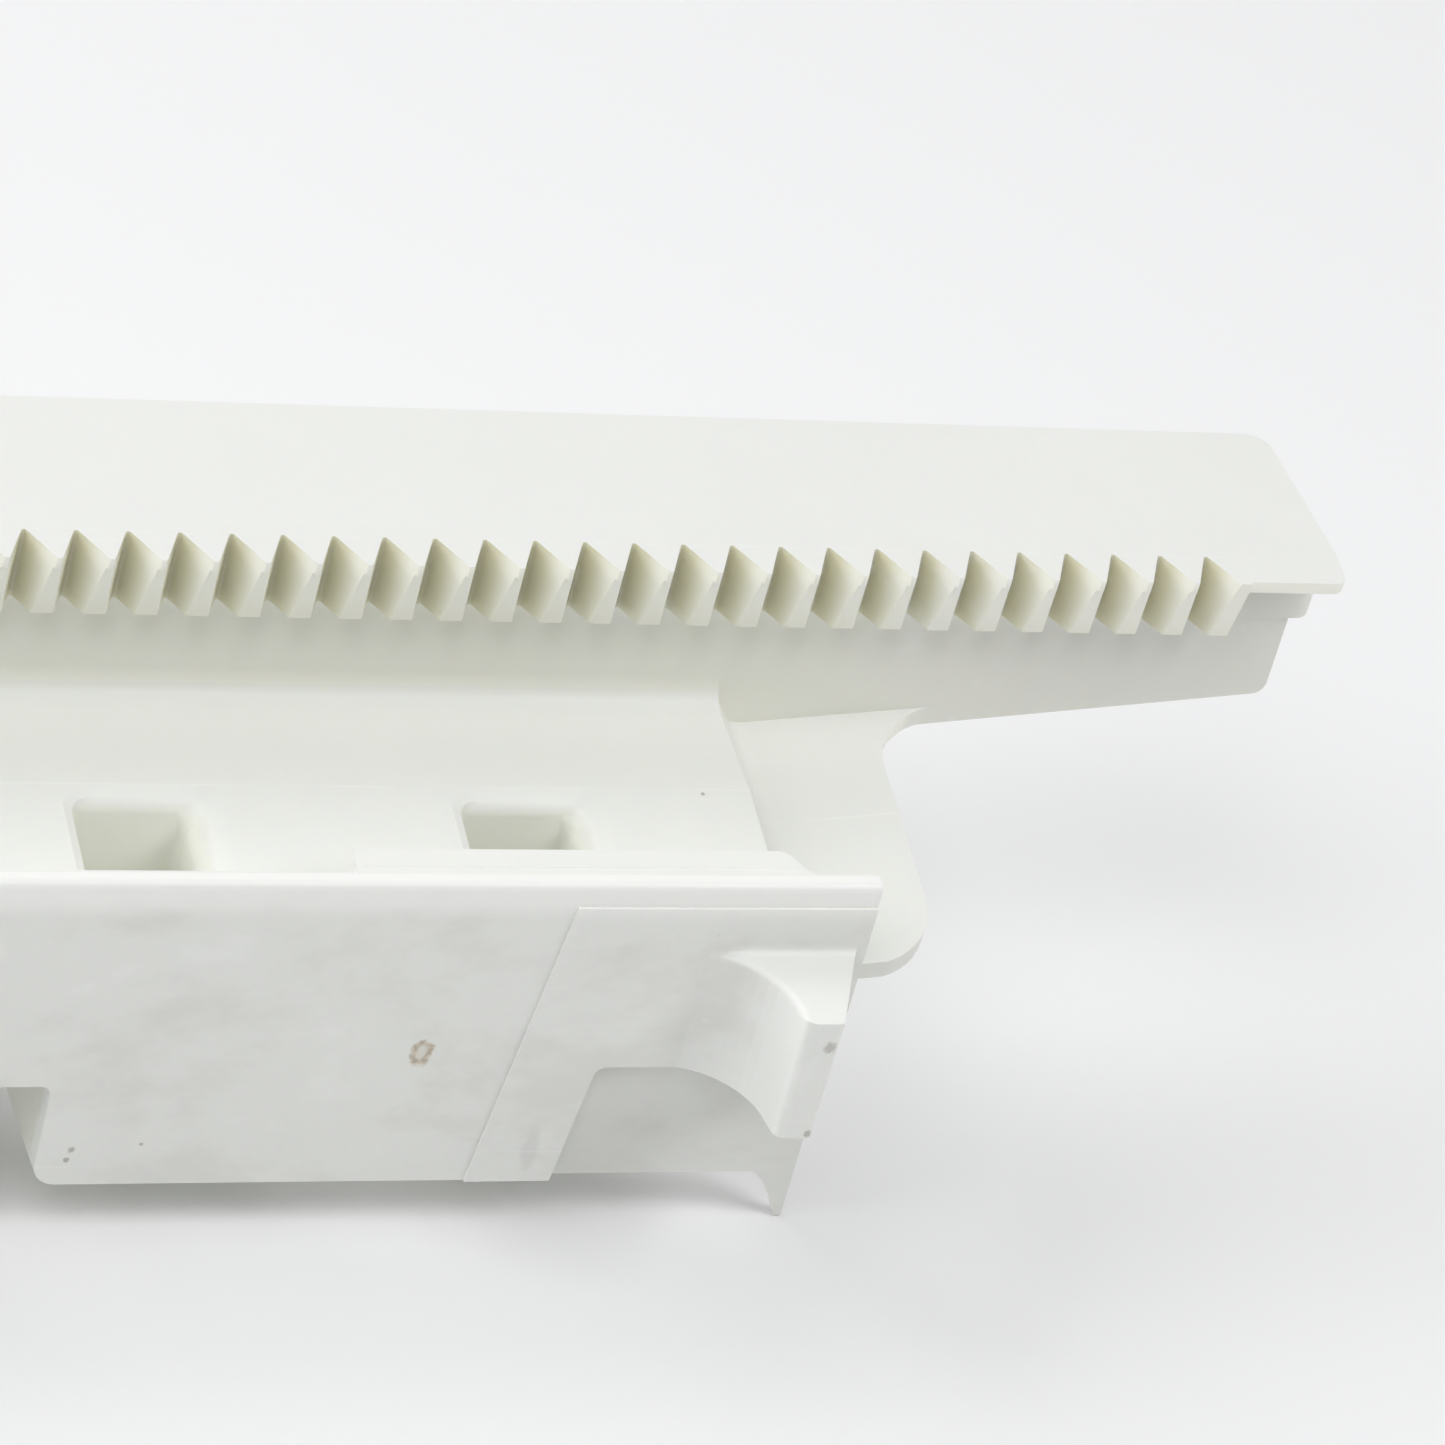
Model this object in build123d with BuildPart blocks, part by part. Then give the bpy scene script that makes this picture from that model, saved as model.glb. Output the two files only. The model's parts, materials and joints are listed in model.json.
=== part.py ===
from build123d import *
import math
import os

os.makedirs("parts", exist_ok=True)

# Drawer-slide rack rail with its travelling pinion carriage.
# Millimetres, +Z up.  +X runs along the rack, +Y points from the tooth tips
# to the back of the cover plate.  The shapes below are dimensioned from one
# datum: the mouth of the last tooth gap, on the tooth-tip line, at the top
# face of the cover plate.  The row origin is the bottom centre of the whole
# assembly, so the datum stands at (DX, DY, DZ).

# ---- driving dimensions ----------------------------------------------------
module = 2.0                      # rack and pinion module
pitch = math.pi * module          # 6.283 tooth pitch
press_ang = 24.6                  # flank angle of the rack, degrees
gap_depth = 5.95                  # depth of a V gap at the top face
tip_land = 0.82                   # tooth land at the top face
rack_h = 9.44                     # height of the toothed bar
tip_draft = 2.24                  # how far the tip face recedes to its foot
n_gaps = 62                       # tooth gaps

plate_t = 1.55                    # cover plate
plate_w = 33.25
right_end = 18.4                  # plate end, from the last gap
rail_len = 420.0
left_end = right_end - rail_len   # -401.6

wall_y0, wall_y1 = 6.8, 9.0       # rack wall, front and back faces
web_end = -59.0                   # where the raised channel floor stops
web_t = 2.0
web_z_back = -23.65               # floor height at the rack wall
crease_y, crease_z = -9.5, -25.3  # change of slope across the floor
front_out, front_in = -33.0, -30.6  # front wall faces
web_z_front = -30.25
front_end = -50.0                 # right end of the front wall
rim_z = -21.7                     # top of the front wall
hem_z = -66.4                     # bottom of the front wall
foot_z = -73.5                    # plane the feet and posts stand on

tab_t = 2.3                       # side arm
tab_rise = 0.114                  # its rise per mm towards +X
leg_pitch = 47.8                  # spacing of the hollow legs
leg_x0 = -89.3
n_legs = 7

gear_z = 15                       # pinion teeth
gear_r = gear_z * module / 2      # 15.0
rack_pitch_y = 2.53               # line where tooth and gap are equal
mesh_ease = 0.12                  # extra centre distance for backlash
shaft_r = 4.0
axle_x = -55 * pitch               # pinion axis at the closed end of travel
axle_y = rack_pitch_y - gear_r - mesh_ease
travel = 240.0                    # carriage stroke

DX = -(left_end + right_end) / 2  # 191.6
DY = 6.775
DZ = -foot_z                      # 73.5


def yz(x):
    """Section plane at datum x: local x is +Y, local y is +Z, normal +X."""
    return Plane(origin=(DX + x, DY, DZ), x_dir=(0, 1, 0), z_dir=(1, 0, 0))


def xz(y):
    """Elevation plane at datum y: local x is +X, local y is +Z, normal -Y."""
    return Plane(origin=(DX, DY + y, DZ), x_dir=(1, 0, 0), z_dir=(0, -1, 0))


def xy(z):
    """Plan plane at datum z."""
    return Plane(origin=(DX, DY, DZ + z), x_dir=(1, 0, 0), z_dir=(0, 0, 1))


def floor_z(y):
    """Top of the channel floor at datum y."""
    if y >= crease_y:
        f = (y - crease_y) / (wall_y0 - crease_y)
        return crease_z + f * (web_z_back - crease_z)
    f = (crease_y - y) / (crease_y - front_in)
    return crease_z + f * (web_z_front - crease_z)


floor_tilt = math.atan2(crease_z - web_z_front, crease_y - front_in)


def ease(r, t):
    """Widening of a pocket mouth of edge radius r at depth t."""
    if t < 0:
        return ease(r, 0.0) + 3.0 * -t
    return r - math.sqrt(r * r - (r - t) ** 2) if t < r else 0.0


def flare_cap_edges(bp):
    """Curved outer edge of the flare's flat top."""
    top = [e for e in bp.edges() if abs(e.center().Z - DZ - flare_top) < 0.01
           and -75 < e.center().X - DX < -50 and e.center().Y - DY < front_out - 0.02]
    arcs = [e for e in top if e.geom_type == GeomType.CIRCLE and e.length > 6]
    line = [e for e in top if e not in arcs]
    return arcs, line


def flare_root_edges(bp):
    """Straight edge where the flare's flat top meets the wall."""
    return [e for e in bp.edges() if abs(e.center().Z - DZ - flare_top) < 0.01
            and e.geom_type == GeomType.LINE
            and abs(e.center().Y - DY - front_out) < 0.6 and e.length > 8]


def arm_z(x, y):
    """Top of the side arm at datum x, y: two facets sloping to the front."""
    z = -27.2 + tab_rise * (x + 54.4)
    if y >= crease_y:
        return z - (6.5 - y) * math.tan(math.radians(11.0))
    return (z - (6.5 - crease_y) * math.tan(math.radians(11.0))
            - (crease_y - y) * math.tan(math.radians(13.2)))


# ---- the side arm: a folded strip, rising to +X, cut to its outline ---------
arm_from, arm_to = -61.0, -24.0
with BuildPart() as arm_blank:
    with BuildSketch(yz(arm_from)):
        with BuildLine():
            Polyline((8.4, arm_z(arm_from, 8.4)),
                     (crease_y, arm_z(arm_from, crease_y)),
                     (front_in - 0.6, arm_z(arm_from, front_in - 0.6)),
                     (front_in - 0.6, arm_z(arm_from, front_in - 0.6) - tab_t),
                     (crease_y, arm_z(arm_from, crease_y) - tab_t),
                     (8.4, arm_z(arm_from, 8.4) - tab_t), close=True)
        make_face()
    extrude(amount=arm_to - arm_from, dir=(1, 0, tab_rise))
    # everything right of the arm's edge is cut away in plan
    with BuildSketch(xy(-45)):
        with BuildLine():
            l1 = Line((-29.2, 8.6), (-29.2, wall_y0))
            a1 = RadiusArc(l1 @ 1, (-38.5, -2.5), -9.35)
            l2 = Line(a1 @ 1, (-38.6, -22.4))
            a2 = RadiusArc(l2 @ 1, (-47.6, -31.4), 9.0)
            l3 = Line(a2 @ 1, (-47.6, -40))
            l4 = Line(l3 @ 1, (-10, -40))
            l5 = Line(l4 @ 1, (-10, 8.6))
            Line(l5 @ 1, l1 @ 0)
        make_face()
    extrude(amount=30, mode=Mode.SUBTRACT)

# ---- rack rail: one injection moulding ---------------------------------------
arc_r = 11.0                      # plan radius of the flared skin
flare_y = -46.8
flare_top, flare_bot = -31.4, -48.8
with BuildPart() as rack_rail:
    # cover plate
    with BuildSketch(xy(-plate_t)) as plate_sk:
        with BuildLine():
            Polyline((left_end, 0), (0, 0), (0, 0.5), (right_end - 0.9, 0.5),
                     (right_end, 7.0), (right_end, plate_w), (left_end, plate_w), close=True)
        make_face()
        fillet(plate_sk.vertices().sort_by_distance((right_end, plate_w))[0], 3.2)
        fillet(plate_sk.vertices().sort_by_distance((right_end - 0.9, 0.5))[0], 1.9)
    extrude(amount=plate_t)
    # toothed bar with its drafted tip face
    with BuildSketch(yz(left_end)):
        with BuildLine():
            Polyline((0, 0), (tip_draft, -rack_h), (wall_y1, -rack_h),
                     (wall_y1, 0), close=True)
        make_face()
    extrude(amount=4.4 - left_end)
    # plain bar beyond the last tooth
    with BuildSketch(xy(-rack_h)) as bar_sk:
        with BuildLine():
            Polyline((0, 6.3), (17.9, 6.3), (17.9, wall_y1 + 0.6), (0, wall_y1 + 0.6), close=True)
        make_face()
        fillet(bar_sk.vertices().sort_by_distance((17.9, 6.3))[0], 2.8)
    extrude(amount=rack_h - 0.4)
    # tooth gaps
    hw = (pitch - tip_land) / 2
    tan_f = hw / gap_depth
    with BuildSketch(xy(0.5)) as gap_sk:
        with Locations(*[(-k * pitch, 0) for k in range(n_gaps)]):
            Polygon((0, gap_depth + 0.25), (-hw - 1.05 * tan_f, -0.8),
                    (hw + 1.05 * tan_f, -0.8), align=None)
        fillet(gap_sk.vertices().group_by(Axis.Y)[-1], 0.35)
    extrude(amount=-(rack_h + 0.5), mode=Mode.SUBTRACT)
    # rack wall, left of the step
    with BuildSketch(yz(left_end)):
        with BuildLine():
            Polyline((wall_y0, -rack_h + 0.5), (wall_y0, web_z_back - web_t),
                     (wall_y1, web_z_back - web_t), (wall_y1, -rack_h + 0.5), close=True)
        make_face()
    extrude(amount=web_end - left_end)
    # rack wall, right of the step: its lower edge rises to the right end
    with BuildSketch(xz(wall_y1)) as rw_sk:
        with BuildLine():
            Polyline((web_end - 1.5, -rack_h + 0.5), (14.7, -rack_h + 0.5),
                     (14.7, -21.35), (-30, -27.05), (web_end - 1.5, -30.8), close=True)
        make_face()
        fillet(rw_sk.vertices().sort_by_distance((14.7, -21.35))[0], 1.8)
    extrude(amount=wall_y1 - wall_y0)
    # channel floor, two facets
    with BuildSketch(yz(left_end)):
        with BuildLine():
            Polyline((wall_y0 + 1, floor_z(wall_y0)), (wall_y0, floor_z(wall_y0)),
                     (crease_y, crease_z),
                     (front_in - 0.5, floor_z(front_in - 0.5)),
                     (front_in - 0.5, floor_z(front_in - 0.5) - web_t),
                     (crease_y, crease_z - web_t),
                     (wall_y0 + 1, floor_z(wall_y0) - web_t), close=True)
        make_face()
    extrude(amount=web_end - left_end)
    # concave blend between the rack wall and the floor
    blend_r = 4.2
    with BuildSketch(yz(left_end)):
        with BuildLine():
            b1 = Line((wall_y0 + 0.6, web_z_back + blend_r), (wall_y0, web_z_back + blend_r))
            b2 = RadiusArc(b1 @ 1, (wall_y0 - blend_r, floor_z(wall_y0 - blend_r)), blend_r)
            b3 = Line(b2 @ 1, (wall_y0 - blend_r, floor_z(wall_y0) - web_t * 0.8))
            b4 = Line(b3 @ 1, (wall_y0 + 0.6, floor_z(wall_y0) - web_t * 0.8))
            Line(b4 @ 1, b1 @ 0)
        make_face()
    extrude(amount=web_end - left_end)
    # drafted step from the floor down to the side arm, eased at top and foot
    for sx, sf in ((web_end - 0.6, 0.0), (web_end + 0.2, 0.05), (web_end + 0.9, 0.2),
                   (web_end + 1.5, 0.45), (web_end + 2.1, 0.72), (web_end + 2.8, 0.9),
                   (web_end + 3.8, 0.98), (web_end + 4.8, 1.0)):
        with BuildSketch(yz(sx)):
            with BuildLine():
                Polyline(
                    (7.4, (1 - sf) * floor_z(wall_y0) + sf * arm_z(sx, 7.4)),
                    (crease_y, (1 - sf) * crease_z + sf * arm_z(sx, crease_y)),
                    (front_in - 0.5, (1 - sf) * floor_z(front_in - 0.5)
                     + sf * arm_z(sx, front_in - 0.5)),
                    (front_in - 0.5, arm_z(sx, front_in - 0.5) - tab_t),
                    (crease_y, arm_z(sx, crease_y) - tab_t),
                    (7.4, arm_z(sx, 7.4) - tab_t), close=True)
            make_face()
    loft(ruled=True)
    # side arm
    add(arm_blank.part)
    # front wall with a rounded rim
    with BuildSketch(yz(left_end)) as fw_sk:
        with BuildLine():
            Polyline((front_out, hem_z), (front_in, hem_z), (front_in, rim_z),
                     (front_out, rim_z), close=True)
        make_face()
        fillet(fw_sk.vertices().sort_by_distance((front_out, rim_z))[0], 1.1)
    extrude(amount=front_end - left_end)
    # raised panel on the outside of its right part
    panel_t = 0.35
    with BuildSketch(xz(front_out + 0.2)):
        with BuildLine():
            Polyline((-87.8, -24.9), (front_end, -24.9), (front_end, -50),
                     (-70, -50), (-70, hem_z), (-93.0, hem_z), close=True)
        make_face()
    extrude(amount=panel_t + 0.2)
    # retaining lip over the channel, with a hairline groove
    with BuildSketch(xy(rim_z - 1.6)) as lip_sk:
        with BuildLine():
            Polyline((-116.0, front_out + 1.6), (-115.2, -31.0), (-114.2, -26.2),
                     (-60.4, -26.2), (-58.9, -29.6), (-57.3, front_out + 1.6),
                     close=True)
        make_face()
        fillet(lip_sk.vertices().sort_by_distance((-60.4, -26.2))[0], 1.8)
        fillet(lip_sk.vertices().sort_by_distance((-114.2, -26.2))[0], 1.3)
    extrude(amount=1.6)
    with BuildSketch(yz(-114.0)):
        with BuildLine():
            Polyline((-29.95, rim_z + 0.05), (-29.45, rim_z + 0.05),
                     (-29.7, rim_z - 0.22), close=True)
        make_face()
    extrude(amount=54.6, mode=Mode.SUBTRACT)
    # flared skin: a scoop at the right end, closed on top
    with BuildSketch(xy(flare_bot)) as flare_sk:
        with BuildLine():
            f0 = Line((-51.0, front_out + 0.4), (-72.8, front_out + 0.4))
            f1 = Line(f0 @ 1, (-72.8, front_out))
            f2 = RadiusArc(f1 @ 1, (-72.8 + arc_r, front_out - arc_r), arc_r)
            f3 = Line(f2 @ 1, (-61.5, flare_y))
            f4 = Line(f3 @ 1, (-57.0, flare_y))
            Line(f4 @ 1, f0 @ 0)
        make_face()
        fillet(flare_sk.vertices().sort_by_distance((-61.5, flare_y))[0], 1.5)
        fillet(flare_sk.vertices().sort_by_distance((-57.0, flare_y))[0], 0.8)
    extrude(amount=flare_top - flare_bot)
    cap = flare_cap_edges(rack_rail)
    fillet(cap[0], 0.9)
    fillet(flare_root_edges(rack_rail), 1.6)
    # relief under the flare: the wall continues one millimetre further back
    with BuildSketch(xz(front_out + 1.0)) as rel_sk:
        with BuildLine():
            Polyline((-82.3, hem_z - 1), (-80.1, flare_bot), (front_end + 1, flare_bot),
                     (front_end + 1, hem_z - 1), close=True)
        make_face()
        fillet(rel_sk.vertices().sort_by_distance((-80.1, flare_bot))[0], 1.6)
    extrude(amount=30, mode=Mode.SUBTRACT)
    # hollow behind the skin, open below
    with BuildSketch(xy(flare_bot - 0.5)):
        with BuildLine():
            g0 = Line((-53.6, front_out + 0.9), (-70.0, front_out + 0.9))
            g1 = RadiusArc(g0 @ 1, (-60.4, front_out - arc_r), 12.4)
            g2 = Line(g1 @ 1, (-60.2, flare_y + 1.5))
            g3 = Line(g2 @ 1, (-58.8, flare_y + 1.5))
            Line(g3 @ 1, g0 @ 0)
        make_face()
    extrude(amount=flare_top - flare_bot - 1.4, mode=Mode.SUBTRACT)
    # foot tongues at both ends of the front wall
    with BuildSketch(xz(front_in)):
        with BuildLine():
            t0 = Line((front_end, hem_z + 1), (front_end, foot_z))
            t1 = Line(t0 @ 1, (-50.9, foot_z))
            t2 = RadiusArc(t1 @ 1, (-55.2, hem_z), -16.0)
            t3 = Line(t2 @ 1, (-55.2, hem_z + 1))
            Line(t3 @ 1, t0 @ 0)
        make_face()
        with BuildLine():
            u0 = Line((left_end, hem_z + 1), (left_end, foot_z))
            u1 = Line(u0 @ 1, (left_end + 0.9, foot_z))
            u2 = RadiusArc(u1 @ 1, (left_end + 5.2, hem_z), 16.0)
            u3 = Line(u2 @ 1, (left_end + 5.2, hem_z + 1))
            Line(u3 @ 1, u0 @ 0)
        make_face()
    extrude(amount=1.4)
    # wide notch in the hem
    with BuildSketch(xz(front_in + 1)) as notch_sk:
        with BuildLine():
            Polyline((-190.0, hem_z - 1), (-190.0, hem_z), (-187.0, hem_z), (-187.0, -51.6),
                     (-146.6, -51.6), (-146.6, hem_z), (-143.6, hem_z),
                     (-143.6, hem_z - 1), close=True)
        make_face()
        fillet([notch_sk.vertices().sort_by_distance((nx, -51.6))[0]
                for nx in (-187.0, -146.6)], 1.3)
        fillet(notch_sk.vertices().sort_by_distance((-146.6, hem_z))[0], 2.9)
        fillet(notch_sk.vertices().sort_by_distance((-187.0, hem_z))[0], 2.9)
    extrude(amount=5, mode=Mode.SUBTRACT)
    # hollow legs under the floor: solid bodies first
    with BuildSketch(xy(-27.0)):
        with Locations(*[(leg_x0 - k * leg_pitch, -20.3) for k in range(n_legs)]):
            Rectangle(18.4, 20.2)
    extrude(amount=hem_z + 27.0, taper=1.0)
    # the channel above the floor stays clear of the leg bodies
    with BuildSketch(yz(left_end - 1)):
        with BuildLine():
            Polyline((2.5, floor_z(2.5)), (crease_y, crease_z),
                     (front_in, floor_z(front_in)), (front_in, -23.4),
                     (2.5, -23.4), close=True)
        make_face()
    extrude(amount=web_end - 0.6 - left_end + 1, mode=Mode.SUBTRACT)
    # rear screw posts and stiffening ribs
    with BuildSketch(xy(-25.0)):
        with Locations((-168, 1.0), (-384, 1.0)):
            Circle(6.4)
    extrude(amount=foot_z + 25.0)
    with BuildSketch(xy(-26.0)):
        with Locations(*[(leg_x0 - k * leg_pitch, 0) for k in range(n_legs)]):
            with Locations((0, -2.0)):
                Rectangle(1.6, 20.0)
    extrude(amount=-7.0)
    with BuildSketch(yz(leg_x0 - 0.8)):
        with BuildLine():
            Polyline((wall_y1 - 0.5, -plate_t + 0.3), (plate_w - 4, -plate_t + 0.3),
                     (plate_w - 4, -plate_t - 0.6), (wall_y1 - 0.5, -15.0), close=True)
        make_face()
    gusset = extrude(amount=1.6)
    with Locations(*[(-k * leg_pitch, 0, 0) for k in range(-1, n_legs)]):
        add(gusset)
    # pockets: the hollow inside of each leg, drafted
    with BuildSketch(xy(-24.4)) as pocket_sk:
        with Locations(*[(leg_x0 - k * leg_pitch, -20.4) for k in range(n_legs)]):
            Rectangle(14.6, 17.0)
        fillet(pocket_sk.vertices(), 1.4)
    extrude(amount=hem_z + 24.4 + 2.0, taper=0.8, mode=Mode.SUBTRACT)
    # eased mouths of the pockets: wide at the back and at the right
    fl = Plane(origin=(0, 0, 0), x_dir=(1, 0, 0),
               z_dir=(0, -math.sin(floor_tilt), math.cos(floor_tilt)))
    for k in range(n_legs):
        px, py = leg_x0 - k * leg_pitch, -20.4
        for t in (-0.3, 0.5, 1.2, 2.1, 3.2, 4.6):
            el, eb, er = ease(0.9, t), ease(2.6, t), ease(4.5, t)
            x0, x1 = -7.15 - el, 7.15 + er
            shift = -t * math.tan(floor_tilt)
            y0 = -8.3 / math.cos(floor_tilt) + shift
            y1 = 8.35 / math.cos(floor_tilt) + shift + eb
            mouth = Plane(origin=(DX + px, DY + py, DZ + floor_z(py)),
                          x_dir=fl.x_dir, z_dir=fl.z_dir).offset(-t)
            with BuildSketch(mouth):
                with Locations(((x0 + x1) / 2, (y0 + y1) / 2)):
                    RectangleRounded(x1 - x0, y1 - y0, 1.5 + 0.25 * (er + eb))
        loft(ruled=True, mode=Mode.SUBTRACT)
    # screw holes through the rear posts, with wells for the heads
    with BuildSketch(xy(foot_z - 1)):
        with Locations((-168, 1.0), (-384, 1.0)):
            Circle(2.5)
    extrude(amount=60, mode=Mode.SUBTRACT)
    with BuildSketch(xy(-29.0)):
        with Locations((-168, 1.0), (-384, 1.0)):
            Circle(4.8)
    extrude(amount=12, mode=Mode.SUBTRACT)
rack_rail.part.label = "rack_rail"
print("rail", rack_rail.part.is_valid, len(rack_rail.part.solids()),
      rack_rail.part.volume, rack_rail.part.bounding_box())
export_step(rack_rail.part, "parts/rack_rail.step")

# ---- rear stop: block that closes the channel behind the carriage -----------
stop_x0, stop_x1 = left_end + 1.6, left_end + 9.6
with BuildPart() as rear_stop:
    with BuildSketch(yz(stop_x0)) as stop_sk:
        with BuildLine():
            Polyline((1.8, floor_z(1.8) + 0.02), (crease_y, crease_z + 0.02),
                     (-30.4, floor_z(-30.4) + 0.02), (-30.4, -22.6), (-24.0, -13.0),
                     (-1.0, -13.0), (1.8, -16.0), close=True)
        make_face()
        fillet(stop_sk.vertices().sort_by_distance((-24.0, -13.0))[0], 2.0)
    extrude(amount=stop_x1 - stop_x0)
    # socket for the buffer, and a lightening pocket either side
    with BuildSketch(yz(stop_x1 + 0.1)):
        with Locations((-12.6, -19.0)):
            Circle(3.0)
    extrude(amount=-5.1, mode=Mode.SUBTRACT)
    with BuildSketch(yz(stop_x1 + 0.1)):
        with Locations((-3.4, -18.8), (-21.8, -20.0)):
            RectangleRounded(5.0, 6.5, 1.0)
    extrude(amount=-4.1, mode=Mode.SUBTRACT)
rear_stop.part.label = "rear_stop"
export_step(rear_stop.part, "parts/rear_stop.step")

# ---- stop buffer: soft plug in the rear stop -------------------------------
with BuildPart() as stop_buffer:
    with BuildSketch(yz(stop_x1 - 4.9)):
        with Locations((-12.6, -19.0)):
            Circle(2.98)
    extrude(amount=4.9)
    with BuildSketch(yz(stop_x1)):
        with Locations((-12.6, -19.0)):
            Circle(5.0)
    extrude(amount=2.6)
    fillet(stop_buffer.edges().group_by(Axis.X)[-1], 1.2)
stop_buffer.part.label = "stop_buffer"
export_step(stop_buffer.part, "parts/stop_buffer.step")

# ---- carriage base: slides in the channel ------------------------------------
car_half = 41.0
base_top = -11.6
clear = 0.6                       # body clearance to the channel floor
roller_r, roller_h = 5.0, 5.0
roller_y = wall_y0 - roller_r - 0.12
roller_zc = -16.5
roller_dx = 30.0
pin_r = 2.0
glide_x = (axle_x - 27.0, axle_x + 27.0)
screw_xy = [(axle_x + sx * 35.5, yy) for sx in (-1, 1) for yy in (-8.5, -19.5)]


def glide_profile(y0, y1, gap, up):
    """Closed outline of a floor glide between datum y0 < y1."""
    return [(y0, floor_z(y0) + gap), (y1, floor_z(y1) + gap),
            (y1, floor_z(y1) + up), (y0, floor_z(y0) + up)]


with BuildPart() as carriage_base:
    with BuildSketch(yz(axle_x - car_half)) as cb_sk:
        with BuildLine():
            Polyline((1.5, floor_z(1.5) + clear), (crease_y, crease_z + clear),
                     (-30.0, floor_z(-30.0) + clear), (-30.0, -24.1), (-24.6, -24.1),
                     (-24.6, base_top), (6.2, base_top), (6.2, -19.6),
                     (5.2, -21.9), (3.4, -23.0), close=True)
        make_face()
        fillet(cb_sk.vertices().sort_by_distance((-24.6, base_top))[0], 1.2)
    extrude(amount=2 * car_half)
    # roller bays, open towards the rack wall
    with BuildSketch(xy(roller_zc - roller_h / 2 - 0.3)):
        with Locations((axle_x - roller_dx, roller_y + 2.0), (axle_x + roller_dx, roller_y + 2.0)):
            RectangleRounded(12.6, 16.0, 1.0)
    extrude(amount=roller_h + 0.6, mode=Mode.SUBTRACT)
    # bores for the roller pins
    with BuildSketch(xy(base_top + 0.1)):
        with Locations((axle_x - roller_dx, roller_y), (axle_x + roller_dx, roller_y)):
            Circle(pin_r)
    extrude(amount=-11.0, mode=Mode.SUBTRACT)
    # seat for the lower bush and the shaft end
    with BuildSketch(xy(base_top + 0.1)):
        with Locations((axle_x, axle_y)):
            Circle(6.0)
    extrude(amount=-9.1, mode=Mode.SUBTRACT)
    with BuildSketch(xy(base_top - 8.9)):
        with Locations((axle_x, axle_y)):
            Circle(4.5)
    extrude(amount=-1.6, mode=Mode.SUBTRACT)
    # weight-saving pockets in the top face
    with BuildSketch(xy(base_top + 0.1)):
        with Locations((axle_x - 16.5, -12.0), (axle_x + 16.5, -12.0)):
            RectangleRounded(9.0, 16.0, 1.5)
    extrude(amount=-8.1, mode=Mode.SUBTRACT)
    # pilot holes for the bridge screws
    with BuildSketch(xy(base_top + 0.1)):
        with Locations(*screw_xy):
            Circle(1.7)
    extrude(amount=-9.1, mode=Mode.SUBTRACT)
    # seats for the floor glides
    for gx in glide_x:
        with BuildSketch(yz(gx - 9.0)):
            with BuildLine():
                Polyline(*glide_profile(-6.5, -0.5, -1.0, clear + 2.0), close=True)
            make_face()
            with BuildLine():
                Polyline(*glide_profile(-26.5, -15.0, -1.0, clear + 2.0), close=True)
            make_face()
        extrude(amount=18.0, mode=Mode.SUBTRACT)
    # seats for the side glides
    with BuildSketch(xz(-28.6)):
        with Locations(*[(gx, -26.8) for gx in glide_x]):
            Rectangle(16.0, 3.2)
    extrude(amount=3.0, mode=Mode.SUBTRACT)
    chamfer(carriage_base.edges().filter_by(Axis.Z).group_by(Axis.X)[0]
            .filter_by(lambda e: e.center().Y > DY + 5), 1.0)
    chamfer(carriage_base.edges().filter_by(Axis.Z).group_by(Axis.X)[-1]
            .filter_by(lambda e: e.center().Y > DY + 5), 1.0)
carriage_base.part.label = "carriage_base"
export_step(carriage_base.part, "parts/carriage_base.step")

# ---- floor glides: four low-friction pads under the carriage ---------------
with BuildPart() as floor_glides:
    for gx in glide_x:
        with BuildSketch(yz(gx - 8.97)):
            with BuildLine():
                Polyline(*glide_profile(-6.47, -0.53, 0.15, clear + 1.97), close=True)
            make_face()
            with BuildLine():
                Polyline(*glide_profile(-26.47, -15.03, 0.15, clear + 1.97), close=True)
            make_face()
        extrude(amount=17.94)
    chamfer(floor_glides.edges().filter_by(Axis.Y, tolerance=20).group_by(Axis.Z)[0], 0.3)
floor_glides.part.label = "floor_glides"
export_step(floor_glides.part, "parts/floor_glides.step")

# ---- side glides: two pads that run along the front wall -------------------
with BuildPart() as side_glides:
    with BuildSketch(xz(-28.63)):
        with Locations(*[(gx, -26.8) for gx in glide_x]):
            Rectangle(15.94, 3.14)
    extrude(amount=1.82)
    chamfer(side_glides.edges().filter_by(Axis.Z).group_by(Axis.Y)[0], 0.4)
side_glides.part.label = "side_glides"
export_step(side_glides.part, "parts/side_glides.step")

# ---- guide rollers and their pins -------------------------------------------
for name, sx in (("guide_roller_left", -1), ("guide_roller_right", 1)):
    rx = axle_x + sx * roller_dx
    with BuildPart() as guide_roller:
        with BuildSketch(xy(roller_zc - roller_h / 2)):
            with Locations((rx, roller_y)):
                Circle(roller_r)
                Circle(pin_r + 0.06, mode=Mode.SUBTRACT)
        extrude(amount=roller_h)
        outer = guide_roller.edges().filter_by(GeomType.CIRCLE).filter_by(
            lambda e: abs(e.radius - roller_r) < 1e-6)
        fillet(outer, 0.6)
    guide_roller.part.label = name
    export_step(guide_roller.part, "parts/" + name + ".step")

with BuildPart() as roller_pins:
    with BuildSketch(xy(base_top - 10.8)):
        with Locations((axle_x - roller_dx, roller_y), (axle_x + roller_dx, roller_y)):
            Circle(pin_r - 0.01)
    extrude(amount=10.6)
    chamfer(roller_pins.edges().group_by(Axis.Z)[-1], 0.4)
    chamfer(roller_pins.edges().group_by(Axis.Z)[0], 0.4)
roller_pins.part.label = "roller_pins"
export_step(roller_pins.part, "parts/roller_pins.step")

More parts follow.
